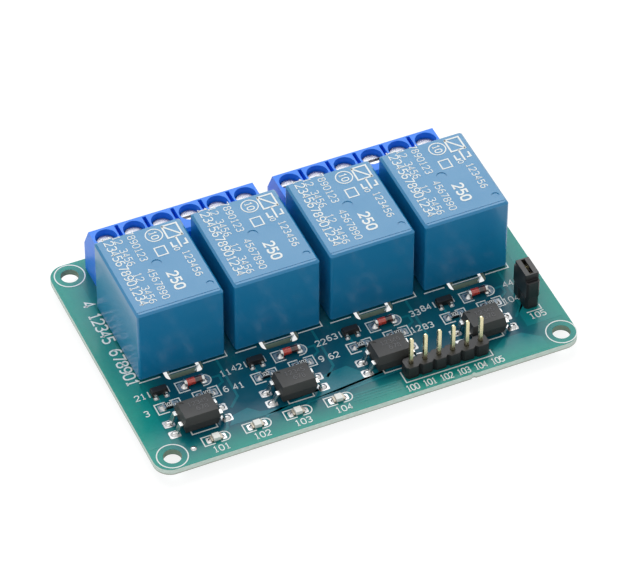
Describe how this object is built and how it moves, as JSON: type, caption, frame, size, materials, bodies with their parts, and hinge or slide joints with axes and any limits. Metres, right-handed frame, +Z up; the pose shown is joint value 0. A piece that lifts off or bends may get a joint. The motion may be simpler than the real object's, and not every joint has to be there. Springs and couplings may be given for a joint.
{
  "type": "relay module board",
  "caption": "Relay module board with plug-in relays, screw terminal blocks along the back and a pin header in front.",
  "frame": {"origin": "centre of the board in X and Y, at the level of the lead tips under the board", "axes": "+X along the front edge from left to right, +Y towards the screw terminals, +Z up, away from the solder side"},
  "size_m": [0.0764, 0.0514, 0.0182],
  "materials": {
    "circuit_board": "gloss",
    "relay_cover": "satin",
    "relay_base": "matte",
    "tinned_metal": "bright tin plate",
    "terminal_block": "satin",
    "screw_metal": "bright zinc plate",
    "clamp_metal": "plated",
    "black_moulding": "satin",
    "diode_glass": "clear",
    "resistor_chip": "satin",
    "indicator_light": "satin",
    "gold_plated": "bright plate"
  },
  "bodies": {
    "board": {"circuit_board": "circuit_board", "relay_cover_1": "relay_cover", "relay_cover_2": "relay_cover", "relay_cover_3": "relay_cover", "relay_cover_4": "relay_cover", "relay_base_1": "relay_base", "relay_base_2": "relay_base", "relay_base_3": "relay_base", "relay_base_4": "relay_base", "relay_pins": "tinned_metal", "terminal_block_1": "terminal_block", "terminal_block_2": "terminal_block", "terminal_block_3": "terminal_block", "terminal_block_4": "terminal_block", "terminal_contacts_1": "tinned_metal", "terminal_contacts_2": "tinned_metal", "terminal_contacts_3": "tinned_metal", "terminal_contacts_4": "tinned_metal", "optocoupler_1": "black_moulding", "optocoupler_2": "black_moulding", "optocoupler_3": "black_moulding", "optocoupler_4": "black_moulding", "optocoupler_leads": "tinned_metal", "transistors": "black_moulding", "transistor_leads": "tinned_metal", "diode_glass": "diode_glass", "diode_caps": "tinned_metal", "resistors": "resistor_chip", "indicator_lights": "indicator_light", "input_strip": "black_moulding", "input_pins": "gold_plated", "jumper_strip": "black_moulding", "jumper_pins": "gold_plated"},
    "clamp_screw_1": {"clamp_screw_1": "screw_metal"},
    "wire_clamp_1": {"wire_clamp_1": "clamp_metal"},
    "clamp_screw_2": {"clamp_screw_2": "screw_metal"},
    "wire_clamp_2": {"wire_clamp_2": "clamp_metal"},
    "clamp_screw_3": {"clamp_screw_3": "screw_metal"},
    "wire_clamp_3": {"wire_clamp_3": "clamp_metal"},
    "clamp_screw_4": {"clamp_screw_4": "screw_metal"},
    "wire_clamp_4": {"wire_clamp_4": "clamp_metal"},
    "clamp_screw_5": {"clamp_screw_5": "screw_metal"},
    "wire_clamp_5": {"wire_clamp_5": "clamp_metal"},
    "clamp_screw_6": {"clamp_screw_6": "screw_metal"},
    "wire_clamp_6": {"wire_clamp_6": "clamp_metal"},
    "clamp_screw_7": {"clamp_screw_7": "screw_metal"},
    "wire_clamp_7": {"wire_clamp_7": "clamp_metal"},
    "clamp_screw_8": {"clamp_screw_8": "screw_metal"},
    "wire_clamp_8": {"wire_clamp_8": "clamp_metal"},
    "clamp_screw_9": {"clamp_screw_9": "screw_metal"},
    "wire_clamp_9": {"wire_clamp_9": "clamp_metal"},
    "clamp_screw_10": {"clamp_screw_10": "screw_metal"},
    "wire_clamp_10": {"wire_clamp_10": "clamp_metal"},
    "clamp_screw_11": {"clamp_screw_11": "screw_metal"},
    "wire_clamp_11": {"wire_clamp_11": "clamp_metal"},
    "clamp_screw_12": {"clamp_screw_12": "screw_metal"},
    "wire_clamp_12": {"wire_clamp_12": "clamp_metal"},
    "jumper_cap": {"jumper_cap": "black_moulding", "jumper_clip": "clamp_metal"}
  },
  "joints": [
    {"name": "screw_turn_1", "type": "hinge", "parent": "board", "child": "clamp_screw_1", "pos_m": [-0.02916, 0.0196, 0.008], "axis": [0, 0, -1], "range_deg": [0, 1265]},
    {"name": "clamp_lift_1", "type": "slide", "parent": "board", "child": "wire_clamp_1", "axis": [0, 0, 1], "range_m": [0, 0.00175]},
    {"name": "screw_turn_2", "type": "hinge", "parent": "board", "child": "clamp_screw_2", "pos_m": [-0.02408, 0.0196, 0.008], "axis": [0, 0, -1], "range_deg": [0, 1265]},
    {"name": "clamp_lift_2", "type": "slide", "parent": "board", "child": "wire_clamp_2", "axis": [0, 0, 1], "range_m": [0, 0.00175]},
    {"name": "screw_turn_3", "type": "hinge", "parent": "board", "child": "clamp_screw_3", "pos_m": [-0.019, 0.0196, 0.008], "axis": [0, 0, -1], "range_deg": [0, 1265]},
    {"name": "clamp_lift_3", "type": "slide", "parent": "board", "child": "wire_clamp_3", "axis": [0, 0, 1], "range_m": [0, 0.00175]},
    {"name": "screw_turn_4", "type": "hinge", "parent": "board", "child": "clamp_screw_4", "pos_m": [-0.01392, 0.0196, 0.008], "axis": [0, 0, -1], "range_deg": [0, 1265]},
    {"name": "clamp_lift_4", "type": "slide", "parent": "board", "child": "wire_clamp_4", "axis": [0, 0, 1], "range_m": [0, 0.00175]},
    {"name": "screw_turn_5", "type": "hinge", "parent": "board", "child": "clamp_screw_5", "pos_m": [-0.00884, 0.0196, 0.008], "axis": [0, 0, -1], "range_deg": [0, 1265]},
    {"name": "clamp_lift_5", "type": "slide", "parent": "board", "child": "wire_clamp_5", "axis": [0, 0, 1], "range_m": [0, 0.00175]},
    {"name": "screw_turn_6", "type": "hinge", "parent": "board", "child": "clamp_screw_6", "pos_m": [-0.00376, 0.0196, 0.008], "axis": [0, 0, -1], "range_deg": [0, 1265]},
    {"name": "clamp_lift_6", "type": "slide", "parent": "board", "child": "wire_clamp_6", "axis": [0, 0, 1], "range_m": [0, 0.00175]},
    {"name": "screw_turn_7", "type": "hinge", "parent": "board", "child": "clamp_screw_7", "pos_m": [0.00452, 0.0196, 0.008], "axis": [0, 0, -1], "range_deg": [0, 1265]},
    {"name": "clamp_lift_7", "type": "slide", "parent": "board", "child": "wire_clamp_7", "axis": [0, 0, 1], "range_m": [0, 0.00175]},
    {"name": "screw_turn_8", "type": "hinge", "parent": "board", "child": "clamp_screw_8", "pos_m": [0.0096, 0.0196, 0.008], "axis": [0, 0, -1], "range_deg": [0, 1265]},
    {"name": "clamp_lift_8", "type": "slide", "parent": "board", "child": "wire_clamp_8", "axis": [0, 0, 1], "range_m": [0, 0.00175]},
    {"name": "screw_turn_9", "type": "hinge", "parent": "board", "child": "clamp_screw_9", "pos_m": [0.01468, 0.0196, 0.008], "axis": [0, 0, -1], "range_deg": [0, 1265]},
    {"name": "clamp_lift_9", "type": "slide", "parent": "board", "child": "wire_clamp_9", "axis": [0, 0, 1], "range_m": [0, 0.00175]},
    {"name": "screw_turn_10", "type": "hinge", "parent": "board", "child": "clamp_screw_10", "pos_m": [0.01976, 0.0196, 0.008], "axis": [0, 0, -1], "range_deg": [0, 1265]},
    {"name": "clamp_lift_10", "type": "slide", "parent": "board", "child": "wire_clamp_10", "axis": [0, 0, 1], "range_m": [0, 0.00175]},
    {"name": "screw_turn_11", "type": "hinge", "parent": "board", "child": "clamp_screw_11", "pos_m": [0.02484, 0.0196, 0.008], "axis": [0, 0, -1], "range_deg": [0, 1265]},
    {"name": "clamp_lift_11", "type": "slide", "parent": "board", "child": "wire_clamp_11", "axis": [0, 0, 1], "range_m": [0, 0.00175]},
    {"name": "screw_turn_12", "type": "hinge", "parent": "board", "child": "clamp_screw_12", "pos_m": [0.02992, 0.0196, 0.008], "axis": [0, 0, -1], "range_deg": [0, 1265]},
    {"name": "clamp_lift_12", "type": "slide", "parent": "board", "child": "wire_clamp_12", "axis": [0, 0, 1], "range_m": [0, 0.00175]},
    {"name": "jumper_lift", "type": "slide", "parent": "board", "child": "jumper_cap", "axis": [0, 0, 1], "range_m": [0, 0.007]}
  ],
  "couplings": [
    {"joint": "screw_turn_1", "follows": "clamp_lift_1", "rad_per_m": 12566},
    {"joint": "screw_turn_2", "follows": "clamp_lift_2", "rad_per_m": 12566},
    {"joint": "screw_turn_3", "follows": "clamp_lift_3", "rad_per_m": 12566},
    {"joint": "screw_turn_4", "follows": "clamp_lift_4", "rad_per_m": 12566},
    {"joint": "screw_turn_5", "follows": "clamp_lift_5", "rad_per_m": 12566},
    {"joint": "screw_turn_6", "follows": "clamp_lift_6", "rad_per_m": 12566},
    {"joint": "screw_turn_7", "follows": "clamp_lift_7", "rad_per_m": 12566},
    {"joint": "screw_turn_8", "follows": "clamp_lift_8", "rad_per_m": 12566},
    {"joint": "screw_turn_9", "follows": "clamp_lift_9", "rad_per_m": 12566},
    {"joint": "screw_turn_10", "follows": "clamp_lift_10", "rad_per_m": 12566},
    {"joint": "screw_turn_11", "follows": "clamp_lift_11", "rad_per_m": 12566},
    {"joint": "screw_turn_12", "follows": "clamp_lift_12", "rad_per_m": 12566}
  ]
}
